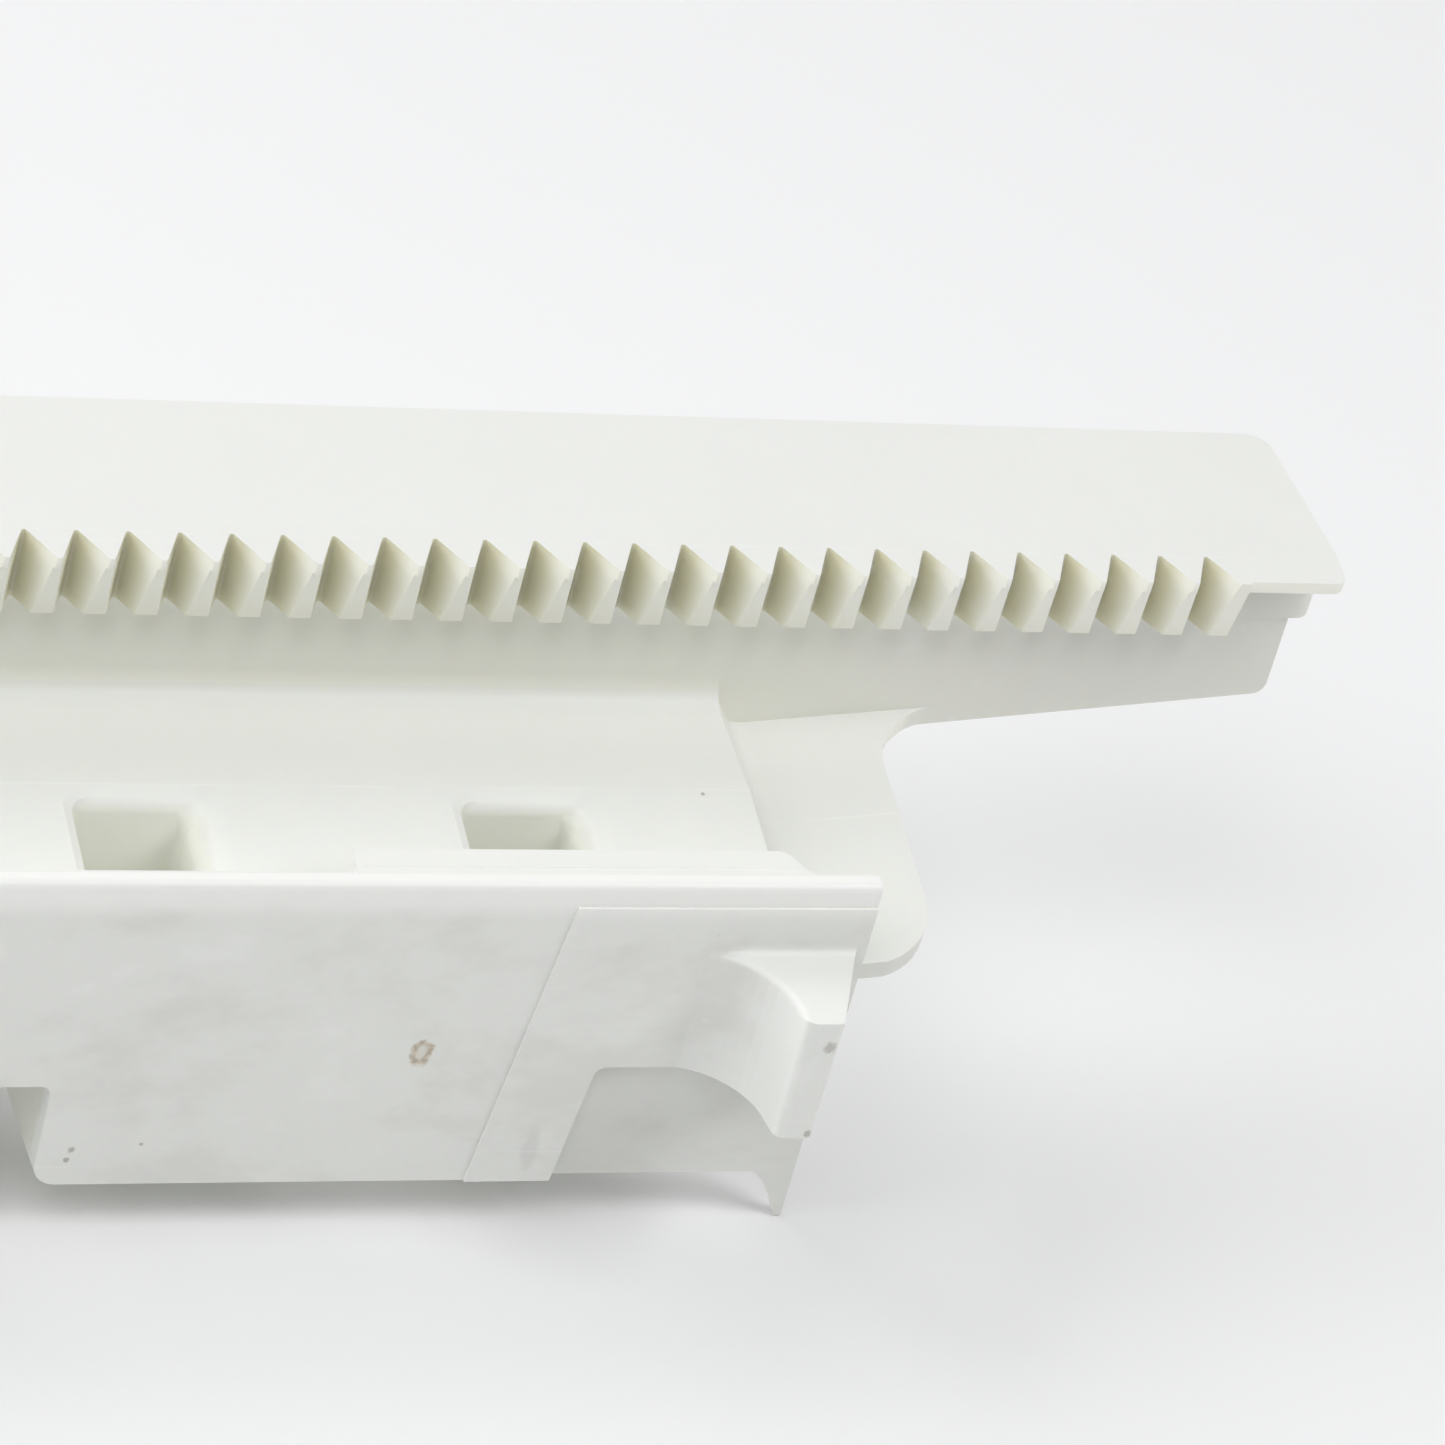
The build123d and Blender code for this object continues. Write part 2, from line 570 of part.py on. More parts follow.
# ---- bearing bridge: bent steel hat section over the pinion -----------------
sheet = 1.5
bridge_in = 8.0                   # underside of the top plate
bx, bf = 28.0, 41.0
with BuildPart() as bearing_bridge:
    with BuildSketch(xz(-1.6)) as br_sk:
        with BuildLine():
            Polyline((axle_x - bf, base_top), (axle_x - bx + sheet, base_top),
                     (axle_x - bx + sheet, bridge_in), (axle_x + bx - sheet, bridge_in),
                     (axle_x + bx - sheet, base_top), (axle_x + bf, base_top),
                     (axle_x + bf, base_top + sheet), (axle_x + bx, base_top + sheet),
                     (axle_x + bx, bridge_in + sheet), (axle_x - bx, bridge_in + sheet),
                     (axle_x - bx, base_top + sheet), (axle_x - bf, base_top + sheet),
                     close=True)
        make_face()
        inner = [(axle_x - bx + sheet, bridge_in), (axle_x + bx - sheet, bridge_in),
                 (axle_x + bx, base_top + sheet), (axle_x - bx, base_top + sheet)]
        outer_c = [(axle_x - bx + sheet, base_top), (axle_x + bx - sheet, base_top),
                   (axle_x + bx, bridge_in + sheet), (axle_x - bx, bridge_in + sheet)]
        fillet([br_sk.vertices().sort_by_distance(p)[0] for p in inner], 1.2)
        fillet([br_sk.vertices().sort_by_distance(p)[0] for p in outer_c], 2.7)
    extrude(amount=22.8)
    fillet(bearing_bridge.edges().filter_by(Axis.Z).filter_by(
        lambda e: abs(e.length - sheet) < 1e-3), 3.0)
    # bush hole and four fixing holes in the top plate
    with BuildSketch(xy(bridge_in - 0.1)):
        with Locations((axle_x, axle_y)):
            Circle(5.5)
        with Locations(*[(axle_x + sx * 19.0, -13.0 + sy * 7.5) for sx in (-1, 1) for sy in (-1, 1)]):
            Circle(2.25)
    extrude(amount=sheet + 0.2, mode=Mode.SUBTRACT)
    # clearance holes in the flanges
    with BuildSketch(xy(base_top - 0.1)):
        with Locations(*screw_xy):
            Circle(2.2)
    extrude(amount=sheet + 0.2, mode=Mode.SUBTRACT)
bearing_bridge.part.label = "bearing_bridge"
export_step(bearing_bridge.part, "parts/bearing_bridge.step")

# ---- bridge screws: four identical pan-head screws -------------------------
with BuildPart() as bridge_screws:
    with BuildSketch(xy(base_top + sheet)):
        with Locations(*screw_xy):
            Circle(3.8)
    extrude(amount=2.6)
    fillet(bridge_screws.edges().group_by(Axis.Z)[-1], 1.2)
    with BuildSketch(xy(base_top + sheet)):
        with Locations(*screw_xy):
            Circle(1.68)
    extrude(amount=-9.6)
    # cross recess
    with BuildSketch(xy(base_top + sheet + 2.7)):
        with Locations(*screw_xy):
            Rectangle(3.6, 0.8)
            Rectangle(0.8, 3.6)
    extrude(amount=-1.6, mode=Mode.SUBTRACT)
bridge_screws.part.label = "bridge_screws"
export_step(bridge_screws.part, "parts/bridge_screws.step")

# ---- flanged shaft bushes -----------------------------------------------------
bush_bore = shaft_r + 0.05
with BuildPart() as lower_bush:
    with BuildSketch(xy(base_top)):
        with Locations((axle_x, axle_y)):
            Circle(8.0)
    extrude(amount=1.2)
    chamfer(lower_bush.edges().group_by(Axis.Z)[-1], 0.3)
    with BuildSketch(xy(base_top)):
        with Locations((axle_x, axle_y)):
            Circle(5.98)
    extrude(amount=-8.9)
    with BuildSketch(xy(base_top + 2)):
        with Locations((axle_x, axle_y)):
            Circle(bush_bore)
    extrude(amount=-12, mode=Mode.SUBTRACT)
lower_bush.part.label = "lower_bush"
export_step(lower_bush.part, "parts/lower_bush.step")

with BuildPart() as upper_bush:
    with BuildSketch(xy(bridge_in + sheet)):
        with Locations((axle_x, axle_y)):
            Circle(8.0)
    extrude(amount=1.2)
    chamfer(upper_bush.edges().group_by(Axis.Z)[-1], 0.3)
    with BuildSketch(xy(bridge_in + sheet)):
        with Locations((axle_x, axle_y)):
            Circle(5.48)
    extrude(amount=-(sheet + 1.0))
    with BuildSketch(xy(bridge_in + 5)):
        with Locations((axle_x, axle_y)):
            Circle(bush_bore)
    extrude(amount=-12, mode=Mode.SUBTRACT)
upper_bush.part.label = "upper_bush"
export_step(upper_bush.part, "parts/upper_bush.step")

# ---- pinion: involute spur gear that matches the rack -----------------------
alpha = math.radians(press_ang)
rb = gear_r * math.cos(alpha)
ra = gear_r + 1.9
rf = gear_r - rack_pitch_y - 0.3
thick = pitch / 2 - 0.20          # tooth thickness on the pitch circle
gear_z0, gear_z1 = -9.3, -1.3
hub_z1 = 6.0


def inv(a):
    return math.tan(a) - a


half0 = thick / (2 * gear_r) + inv(alpha)      # half tooth angle at the base circle


def flank(r, side):
    """Point of the tooth flank at radius r for a tooth that points to +Y."""
    a = half0 - (inv(math.acos(rb / r)) if r > rb else 0.0)
    return (side * r * math.sin(a), r * math.cos(a))


radii = [rb + (ra - rb) * (i / 6) ** 1.5 for i in range(7)]
with BuildSketch() as tooth_sk:
    with BuildLine():
        s1 = Spline(*[flank(r, -1) for r in radii])
        s2 = Spline(*[flank(r, 1) for r in radii])
        ThreePointArc(s1 @ 1, (0, ra), s2 @ 1)
        r1 = Line(s1 @ 0, flank(rf - 0.5, -1))
        r2 = Line(s2 @ 0, flank(rf - 0.5, 1))
        Line(r1 @ 1, r2 @ 1)
    make_face()
with BuildPart() as pinion:
    gear_plane = Plane(origin=(DX + axle_x, DY + axle_y, DZ + gear_z0))
    with BuildSketch(gear_plane) as gear_sk:
        Circle(rf)
        with PolarLocations(0, gear_z):
            add(tooth_sk.sketch)
    extrude(amount=gear_z1 - gear_z0)
    with BuildSketch(gear_plane.offset(gear_z1 - gear_z0)):
        Circle(7.5)
    extrude(amount=hub_z1 - gear_z1)
    chamfer(pinion.edges().group_by(Axis.Z)[-1], 0.5)
    # shallow dish in the upper face, between rim and hub
    with BuildSketch(gear_plane.offset(gear_z1 - gear_z0)):
        Circle(10.8)
        Circle(7.5, mode=Mode.SUBTRACT)
    extrude(amount=-1.4, mode=Mode.SUBTRACT)
    with BuildSketch(gear_plane.offset(-1)):
        Circle(shaft_r)
    extrude(amount=hub_z1 - gear_z0 + 2, mode=Mode.SUBTRACT)
    # cross hole for the drive pin
    with BuildSketch(Plane(origin=(DX + axle_x - 10, DY + axle_y, DZ + 2.4),
                           x_dir=(0, 1, 0), z_dir=(1, 0, 0))):
        Circle(1.25)
    extrude(amount=20, mode=Mode.SUBTRACT)
pinion.part.label = "pinion"
export_step(pinion.part, "parts/pinion.step")

# ---- cross shaft: stub that carries the pinion and the drive across ---------
with BuildPart() as cross_shaft:
    with BuildSketch(xy(-21.2)):
        with Locations((axle_x, axle_y)):
            Circle(shaft_r)
    extrude(amount=21.2 + 30.0)
    # drive end, turned down for a clamp coupling
    with BuildSketch(xy(15.0)):
        with Locations((axle_x, axle_y)):
            Circle(shaft_r + 2)
            Circle(3.5, mode=Mode.SUBTRACT)
    extrude(amount=16, mode=Mode.SUBTRACT)
    chamfer(cross_shaft.edges().group_by(Axis.Z)[-1], 0.6)
    chamfer(cross_shaft.edges().group_by(Axis.Z)[0], 0.6)
    # groove for the retaining clip
    with BuildSketch(xy(11.6)):
        with Locations((axle_x, axle_y)):
            Circle(5)
            Circle(3.2, mode=Mode.SUBTRACT)
    extrude(amount=0.9, mode=Mode.SUBTRACT)
    # cross hole for the drive pin
    with BuildSketch(Plane(origin=(DX + axle_x - 10, DY + axle_y, DZ + 2.4),
                           x_dir=(0, 1, 0), z_dir=(1, 0, 0))):
        Circle(1.25)
    extrude(amount=20, mode=Mode.SUBTRACT)
cross_shaft.part.label = "cross_shaft"
export_step(cross_shaft.part, "parts/cross_shaft.step")

# ---- drive pin through hub and shaft ----------------------------------------
with BuildPart() as drive_pin:
    with BuildSketch(Plane(origin=(DX + axle_x - 7.3, DY + axle_y, DZ + 2.4),
                           x_dir=(0, 1, 0), z_dir=(1, 0, 0))):
        Circle(1.24)
        Circle(0.6, mode=Mode.SUBTRACT)
    extrude(amount=14.6)
drive_pin.part.label = "drive_pin"
export_step(drive_pin.part, "parts/drive_pin.step")

# ---- washers and retaining clip ----------------------------------------------
for name, z0, t in (("thrust_washer_lower", -10.25, 0.8), ("thrust_washer_upper", 6.1, 0.6),
                    ("shaft_washer", 10.85, 0.65)):
    with BuildPart() as washer:
        with BuildSketch(xy(z0)):
            with Locations((axle_x, axle_y)):
                Circle(7.2)
                Circle(shaft_r + 0.02, mode=Mode.SUBTRACT)
        extrude(amount=t)
        chamfer(washer.edges().filter_by(GeomType.CIRCLE).filter_by(
            lambda e: e.radius > 7), 0.15)
    washer.part.label = name
    export_step(washer.part, "parts/" + name + ".step")

with BuildPart() as retaining_clip:
    with BuildSketch(xy(11.65)):
        with Locations((axle_x, axle_y)):
            Circle(6.4)
            Circle(3.22, mode=Mode.SUBTRACT)
            with Locations((0, -4.6)):
                Rectangle(4.6, 6.0, mode=Mode.SUBTRACT)
            with Locations((-4.9, 0.6), (4.9, 0.6)):
                Circle(1.2, mode=Mode.SUBTRACT)
    extrude(amount=0.8)
retaining_clip.part.label = "retaining_clip"
export_step(retaining_clip.part, "parts/retaining_clip.step")

print("axle", round(DX + axle_x, 4), round(DY + axle_y, 4), "rollers",
      [round(DX + axle_x + s * roller_dx, 4) for s in (-1, 1)], round(DY + roller_y, 4))
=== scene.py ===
import json
import math

import bmesh
import bpy
import numpy as np
from mathutils import Matrix, Vector


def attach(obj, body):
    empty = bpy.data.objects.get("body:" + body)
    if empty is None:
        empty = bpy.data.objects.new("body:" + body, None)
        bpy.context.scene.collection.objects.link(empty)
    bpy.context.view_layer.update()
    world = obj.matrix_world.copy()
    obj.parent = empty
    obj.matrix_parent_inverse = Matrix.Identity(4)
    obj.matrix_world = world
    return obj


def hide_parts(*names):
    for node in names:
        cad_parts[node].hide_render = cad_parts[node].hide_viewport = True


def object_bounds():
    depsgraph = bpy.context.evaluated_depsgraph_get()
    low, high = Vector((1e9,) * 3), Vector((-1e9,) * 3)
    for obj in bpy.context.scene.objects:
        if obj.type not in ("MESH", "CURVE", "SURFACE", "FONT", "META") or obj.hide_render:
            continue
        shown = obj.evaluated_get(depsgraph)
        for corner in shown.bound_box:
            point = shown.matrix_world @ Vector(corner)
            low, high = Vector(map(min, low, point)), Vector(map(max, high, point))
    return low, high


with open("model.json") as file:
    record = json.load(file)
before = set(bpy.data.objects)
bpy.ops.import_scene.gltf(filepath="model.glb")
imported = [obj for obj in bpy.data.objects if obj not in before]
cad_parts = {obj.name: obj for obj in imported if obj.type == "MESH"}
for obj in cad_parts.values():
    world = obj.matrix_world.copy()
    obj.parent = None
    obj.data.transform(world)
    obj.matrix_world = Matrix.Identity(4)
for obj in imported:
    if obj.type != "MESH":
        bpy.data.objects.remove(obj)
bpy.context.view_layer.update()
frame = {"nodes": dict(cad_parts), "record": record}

nodes = frame["nodes"]
coll = bpy.context.scene.collection


# --------------------------------------------------------------- mesh helpers
def link(name, me):
    o = bpy.data.objects.new(name, me)
    coll.objects.link(o)
    return o


def wide(f):
    """Mean width of a face, metres."""
    return f.calc_area() / max(e.calc_length() for e in f.edges)


def shade(me, deg, crease=2.0, width=0.0012):
    """Smooth shading; sharp above an angle, and at creases between wide faces."""
    me.polygons.foreach_set("use_smooth", [True] * len(me.polygons))
    bm = bmesh.new()
    bm.from_mesh(me)
    w = {f.index: wide(f) for f in bm.faces}
    for e in bm.edges:
        e.smooth = True
        if len(e.link_faces) != 2:
            continue
        a = e.calc_face_angle(0.0)
        if a > math.radians(deg) or (a > math.radians(crease) and min(
                w[f.index] for f in e.link_faces) > width):
            e.smooth = False
    bm.to_mesh(me)
    bm.free()


def weighted(o):
    m = o.modifiers.new("weighted_normals", "WEIGHTED_NORMAL")
    m.keep_sharp = True
    m.weight = 80
    m.thresh = 0.02


def softened(node, name, width, inner=0.0, segs=2, angle=24.0, deg=52.0):
    """A finished copy of a CAD node: coplanar triangles joined, then crisp
    outside edges given a real rounding of that width, inside ones a finer one."""
    me = nodes[node].data.copy()
    me.name = name
    o = link(name, me)
    bm = bmesh.new()
    bm.from_mesh(me)
    bmesh.ops.remove_doubles(bm, verts=bm.verts, dist=2e-6)
    if node == "rack_rail":
        # hair-thin steps where the pocket mouths meet the pockets
        near = [v for v in bm.verts if -0.0262 < v.co.y < -0.0030 and 0.038 < v.co.z < 0.0475]
        bmesh.ops.remove_doubles(bm, verts=near, dist=0.00012)
    bmesh.ops.dissolve_limit(bm, angle_limit=math.radians(0.4), use_dissolve_boundaries=False,
                             verts=bm.verts, edges=bm.edges)

    def crisp(outside):
        return [e for e in bm.edges if len(e.link_faces) == 2 and e.is_convex == outside
                and e.calc_face_angle(0.0) > math.radians(angle)]

    rub = bm.faces.layers.float.new("rub")
    for outside, w in ((True, width), (False, inner)):
        if w:
            made = bmesh.ops.bevel(bm, geom=crisp(outside), offset=w, offset_type="OFFSET",
                            segments=segs, profile=0.5, affect="EDGES", clamp_overlap=True,
                            loop_slide=True, miter_outer="SHARP", miter_inner="SHARP")
            if outside:
                for f in made["faces"]:
                    f[rub] = 1.0
    bmesh.ops.dissolve_degenerate(bm, dist=1e-6, edges=bm.edges)
    bmesh.ops.triangulate(bm, faces=[f for f in bm.faces if len(f.verts) > 4])
    bmesh.ops.recalc_face_normals(bm, faces=bm.faces)
    bm.to_mesh(me)
    bm.free()
    shade(me, deg)
    weighted(o)
    return o


# --------------------------------------------------------------- materials
def principled(name):
    m = bpy.data.materials.new(name)
    m.use_nodes = True
    nt = m.node_tree
    nt.nodes.clear()
    out = nt.nodes.new("ShaderNodeOutputMaterial")
    b = nt.nodes.new("ShaderNodeBsdfPrincipled")
    nt.links.new(b.outputs["BSDF"], out.inputs["Surface"])
    return m, nt, b


def rgb(r, g, b):
    """sRGB 0-255 to linear."""
    def f(c):
        c /= 255.0
        return c / 12.92 if c <= 0.04045 else ((c + 0.055) / 1.055) ** 2.4
    return (f(r), f(g), f(b), 1.0)


def noise(nt, vec, scale, detail=3.0, rough=0.5, distort=0.0):
    n = nt.nodes.new("ShaderNodeTexNoise")
    n.inputs["Scale"].default_value = scale
    n.inputs["Detail"].default_value = detail
    n.inputs["Roughness"].default_value = rough
    n.inputs["Distortion"].default_value = distort
    nt.links.new(vec, n.inputs["Vector"])
    return n.outputs["Fac"]


def math_node(nt, op, a, b=None, c=None, clamp=False):
    n = nt.nodes.new("ShaderNodeMath")
    n.operation = op
    n.use_clamp = clamp
    for i, v in enumerate((a, b, c)):
        if v is None:
            continue
        if isinstance(v, (int, float)):
            n.inputs[i].default_value = v
        else:
            nt.links.new(v, n.inputs[i])
    return n.outputs[0]


def remap(nt, v, lo_, hi_, to_lo=0.0, to_hi=1.0, smooth=True):
    n = nt.nodes.new("ShaderNodeMapRange")
    n.interpolation_type = "SMOOTHSTEP" if smooth else "LINEAR"
    for k, x in (("From Min", lo_), ("From Max", hi_), ("To Min", to_lo), ("To Max", to_hi)):
        n.inputs[k].default_value = x
    nt.links.new(v, n.inputs["Value"])
    return n.outputs["Result"]


def blend(nt, fac, a, b):
    n = nt.nodes.new("ShaderNodeMix")
    n.data_type = "RGBA"
    for k, v in (("Factor", fac), ("A", a), ("B", b)):
        sock = [i for i in n.inputs if i.name == k and i.enabled][0]
        if isinstance(v, (tuple, list)):
            sock.default_value = tuple(v)[:3] + (1.0,)
        elif isinstance(v, (int, float)):
            sock.default_value = v
        else:
            nt.links.new(v, sock)
    return [o for o in n.outputs if o.enabled][0]


def edge_mask(nt):
    """1 on the rounded outside edges, 0 elsewhere: the faces marked as rubbed."""
    at = nt.nodes.new("ShaderNodeAttribute")
    at.attribute_type = "GEOMETRY"
    at.attribute_name = "rub"
    return at.outputs["Fac"]


def surface_bump(nt, b, h, strength, dist):
    bp = nt.nodes.new("ShaderNodeBump")
    bp.inputs["Strength"].default_value = strength
    bp.inputs["Distance"].default_value = dist
    nt.links.new(h, bp.inputs["Height"])
    nt.links.new(bp.outputs["Normal"], b.inputs["Normal"])


def plastic(name, base, rough=0.38, mottle=0.02, grain=900.0, bump=0.00002, sss=0.0,
            edge=1.06):
    """Moulded plastic: faint flow mottling, fine skin grain, rubbed edges."""
    m, nt, b = principled(name)
    vec = nt.nodes.new("ShaderNodeTexCoord").outputs["Object"]
    n1 = noise(nt, vec, 55.0, 4.0)
    dark = tuple(c * (1 - mottle) for c in base[:3])
    light = tuple(min(1, c * (1 + mottle)) for c in base[:3])
    col = blend(nt, n1, dark, light)
    worn = math_node(nt, "MULTIPLY", edge_mask(nt), noise(nt, vec, 400.0, 2.0))
    col = blend(nt, worn, col, tuple(min(1, c * edge) for c in base[:3]))
    nt.links.new(col, b.inputs["Base Color"])
    r = remap(nt, noise(nt, vec, 130.0, 3.0), 0.3, 0.7, rough - 0.06, rough + 0.06)
    nt.links.new(r, b.inputs["Roughness"])
    surface_bump(nt, b, noise(nt, vec, grain, 2.0), 0.25, bump)
    if sss:
        b.inputs["Subsurface Weight"].default_value = sss
        b.inputs["Subsurface Radius"].default_value = (0.0022, 0.0022, 0.0014)
        b.inputs["Subsurface Scale"].default_value = 1.0
    return m


def rail_plastic(name, base):
    """The rail's used white moulding: satin skin with handling smudges on its upright faces, specks of
    dirt, a chipped spot, rub marks and pale crease lines; painted shade on the front wall, in the relief
    under the flare, in the tooth roots and on the wall under the last teeth, a painted warm tint on the
    upright faces of the teeth, a painted highlight on the wall's top rim and painted light inside the
    pockets."""
    m, nt, b = principled(name)
    L = nt.links.new
    vec = nt.nodes.new("ShaderNodeTexCoord").outputs["Object"]
    sep = nt.nodes.new("ShaderNodeSeparateXYZ")
    L(vec, sep.inputs[0])
    X, Y, Z = sep.outputs
    geo = nt.nodes.new("ShaderNodeNewGeometry")
    gs = nt.nodes.new("ShaderNodeSeparateXYZ")
    L(geo.outputs["True Normal"], gs.inputs[0])
    upright = remap(nt, math_node(nt, "ABSOLUTE", gs.outputs[2]), 0.35, 0.75, 1.0, 0.0)
    facing = remap(nt, gs.outputs[1], -0.3, -0.8, 0.0, 1.0)
    # base colour with faint flow mottling
    col = blend(nt, noise(nt, vec, 38.0, 4.0), tuple(c * 0.985 for c in base),
                tuple(min(1, c * 1.015) for c in base))
    # grey smudges, cloudy, on upright faces
    mp = nt.nodes.new("ShaderNodeMapping")
    mp.inputs["Scale"].default_value = (1.0, 1.0, 1.6)
    mp.inputs["Rotation"].default_value = (0.0, 0.5, 0.0)
    L(vec, mp.inputs["Vector"])
    c1 = noise(nt, mp.outputs[0], 40.0, 5.0, 0.6, 0.25)
    c2 = noise(nt, mp.outputs[0], 120.0, 4.0, 0.6, 0.2)
    cloud = math_node(nt, "ADD", math_node(nt, "MULTIPLY", c1, 0.72),
                      math_node(nt, "MULTIPLY", c2, 0.28))
    smudge = math_node(nt, "MULTIPLY", remap(nt, cloud, 0.47, 0.64), upright)
    smudge = math_node(nt, "MULTIPLY", smudge, facing)
    fore = math_node(nt, "LESS_THAN", Y, -0.02)
    smudge = math_node(nt, "MULTIPLY", smudge, math_node(nt, "MULTIPLY_ADD", fore, 0.42, 0.12))
    col = blend(nt, smudge, col, (0.69, 0.69, 0.64))
    # painted shade: the upright front-facing faces of the front wall are darkened
    front_facing_shade = math_node(nt, "MULTIPLY", upright, facing)
    front = math_node(nt, "MULTIPLY", front_facing_shade, fore)
    col = blend(nt, math_node(nt, "MULTIPLY", front, 0.38), col, (0.755, 0.765, 0.728))
    # painted shade in the relief under the flare, darker than the wall round it, most at its left edge
    relief_shade = math_node(nt, "MULTIPLY", math_node(nt, "GREATER_THAN", Y, -0.0257),
                       math_node(nt, "LESS_THAN", Y, -0.0248))
    relief_shade = math_node(nt, "MULTIPLY", relief_shade, math_node(nt, "GREATER_THAN", X, 0.105))
    relief_shade = math_node(nt, "MULTIPLY", relief_shade, remap(nt, X, 0.113, 0.125, 0.38, 0.08))
    col = blend(nt, math_node(nt, "MULTIPLY", relief_shade, facing), col, (0.62, 0.625, 0.575))
    # painted highlight along the wall's rolled top rim
    rim_highlight = math_node(nt, "MULTIPLY", math_node(nt, "LESS_THAN", Y, -0.0242),
                       remap(nt, Z, 0.0462, 0.0496))
    col = blend(nt, math_node(nt, "MULTIPLY", rim_highlight, 0.75), col, (0.955, 0.96, 0.935))
    # painted warm tint of shaded light on the upright faces of the teeth and the wall under them
    warm_shade_tint = math_node(nt, "MULTIPLY", upright, math_node(nt, "GREATER_THAN", Y, 0.0))
    col = blend(nt, math_node(nt, "MULTIPLY", warm_shade_tint, 0.75), col, (0.95, 0.945, 0.845))
    # painted shade in the roots of the tooth gaps, darker and yellower than the teeth
    root_shade = math_node(nt, "MULTIPLY", remap(nt, Y, 0.0078, 0.0112), math_node(nt, "LESS_THAN", Y, 0.0128))
    root_shade = math_node(nt, "MULTIPLY", root_shade, math_node(nt, "GREATER_THAN", Z, 0.0636))
    root_shade = math_node(nt, "MULTIPLY", root_shade, upright)
    col = blend(nt, math_node(nt, "MULTIPLY", root_shade, 0.72), col, (0.69, 0.665, 0.47))
    # painted shade on the wall under the last teeth, darker towards its right end
    rack_end_shade = math_node(nt, "MULTIPLY", remap(nt, X, 0.115, 0.195), remap(nt, Y, 0.012, 0.013))
    col = blend(nt, math_node(nt, "MULTIPLY", math_node(nt, "MULTIPLY", rack_end_shade, front_facing_shade), 0.5), col,
                (0.63, 0.63, 0.605))
    pale = math_node(nt, "MULTIPLY", remap(nt, cloud, 0.44, 0.36), upright)
    col = blend(nt, math_node(nt, "MULTIPLY", pale, 0.4), col, (0.90, 0.91, 0.885))
    # painted light inside the pockets, below the sloping floor
    pocket_light = math_node(nt, "MULTIPLY_ADD", Y, 0.2346, 0.0482 + 0.002725 * 0.2346)
    pocket_light = remap(nt, math_node(nt, "SUBTRACT", pocket_light, Z), 0.0004, 0.0025)
    pocket_light = math_node(nt, "MULTIPLY", pocket_light, math_node(nt, "GREATER_THAN", Y, -0.0240))
    pocket_light = math_node(nt, "MULTIPLY", pocket_light, math_node(nt, "LESS_THAN", X, 0.122))
    pocket_light = math_node(nt, "MULTIPLY", pocket_light, math_node(nt, "LESS_THAN", Y, -0.0034))
    col = blend(nt, pocket_light, col, (0.965, 0.98, 0.895))
    # specks of dirt
    vo = nt.nodes.new("ShaderNodeTexVoronoi")
    vo.inputs["Scale"].default_value = 62.0
    vo.inputs["Randomness"].default_value = 1.0
    L(vec, vo.inputs["Vector"])
    hue = nt.nodes.new("ShaderNodeSeparateXYZ")
    L(vo.outputs["Color"], hue.inputs[0])
    dot = remap(nt, vo.outputs["Distance"], 0.010, 0.022, 1.0, 0.0)
    dot = math_node(nt, "MULTIPLY", dot, math_node(nt, "GREATER_THAN", hue.outputs[0], 0.72))
    col = blend(nt, math_node(nt, "MULTIPLY", dot, 0.6), col, (0.20, 0.17, 0.13))

    def spot(cx, cy, cz, rad, grow=0.35, scale=1500.0, sx=1.0, sz=1.0):
        """Ragged round patch about a point: 1 inside, 0 outside."""
        dx = math_node(nt, "MULTIPLY", math_node(nt, "SUBTRACT", X, cx), sx)
        dy = math_node(nt, "SUBTRACT", Y, cy)
        dz = math_node(nt, "MULTIPLY", math_node(nt, "SUBTRACT", Z, cz), sz)
        q = math_node(nt, "ADD", math_node(nt, "MULTIPLY", dx, dx),
                      math_node(nt, "MULTIPLY", dz, dz))
        q = math_node(nt, "SQRT", math_node(nt, "ADD", q, math_node(nt, "MULTIPLY", dy, dy)))
        q = math_node(nt, "DIVIDE", q, rad)
        wob = math_node(nt, "MULTIPLY", math_node(nt, "SUBTRACT", noise(nt, vec, scale, 3.0), 0.5),
                        grow * 4)
        return math_node(nt, "ADD", q, wob)

    # chipped spot on the front wall: brown rim, paler middle
    q = spot(0.08921, -0.02623, 0.02658, 0.00155, 0.34, 480.0, 1.0, 0.8)
    ring = math_node(nt, "MULTIPLY", remap(nt, q, 1.15, 0.85), remap(nt, q, 0.35, 0.8))
    broken = remap(nt, noise(nt, vec, 1100.0, 2.0), 0.42, 0.60, 0.18, 0.95)
    col = blend(nt, math_node(nt, "MULTIPLY", ring, 0.5), col, (0.56, 0.44, 0.27))
    col = blend(nt, math_node(nt, "MULTIPLY", ring, math_node(nt, "MULTIPLY", broken, 0.6)), col,
                (0.33, 0.26, 0.17))
    col = blend(nt, math_node(nt, "MULTIPLY", remap(nt, q, 0.75, 0.3), 0.45), col, (0.66, 0.61, 0.50))
    # dirt caught at corners and at the foot of the wall
    for cx, cy, cz, rad, a in ((0.04902, -0.02623, 0.01235, 0.00045, 0.55),
                               (0.04869, -0.02623, 0.01083, 0.0004, 0.6),
                               (0.05736, -0.02623, 0.01317, 0.0003, 0.55),
                               (0.12228, -0.02623, 0.0448, 0.0003, 0.55),
                               (0.1336, -0.0401, 0.0385, 0.0009, 0.45),
                               (0.1341, -0.0401, 0.0254, 0.0006, 0.5)):
        q2 = spot(cx, cy, cz, rad, 0.35, 2200.0)
        col = blend(nt, math_node(nt, "MULTIPLY", remap(nt, q2, 1.2, 0.5), a), col,
                    (0.24, 0.20, 0.16))
    # grey rub on the panel
    q3 = spot(0.1058, -0.0264, 0.0122, 0.0042, 0.25, 500.0, 3.2, 1.0)
    col = blend(nt, math_node(nt, "MULTIPLY", remap(nt, q3, 1.1, 0.4), 0.22), col,
                (0.50, 0.50, 0.48))
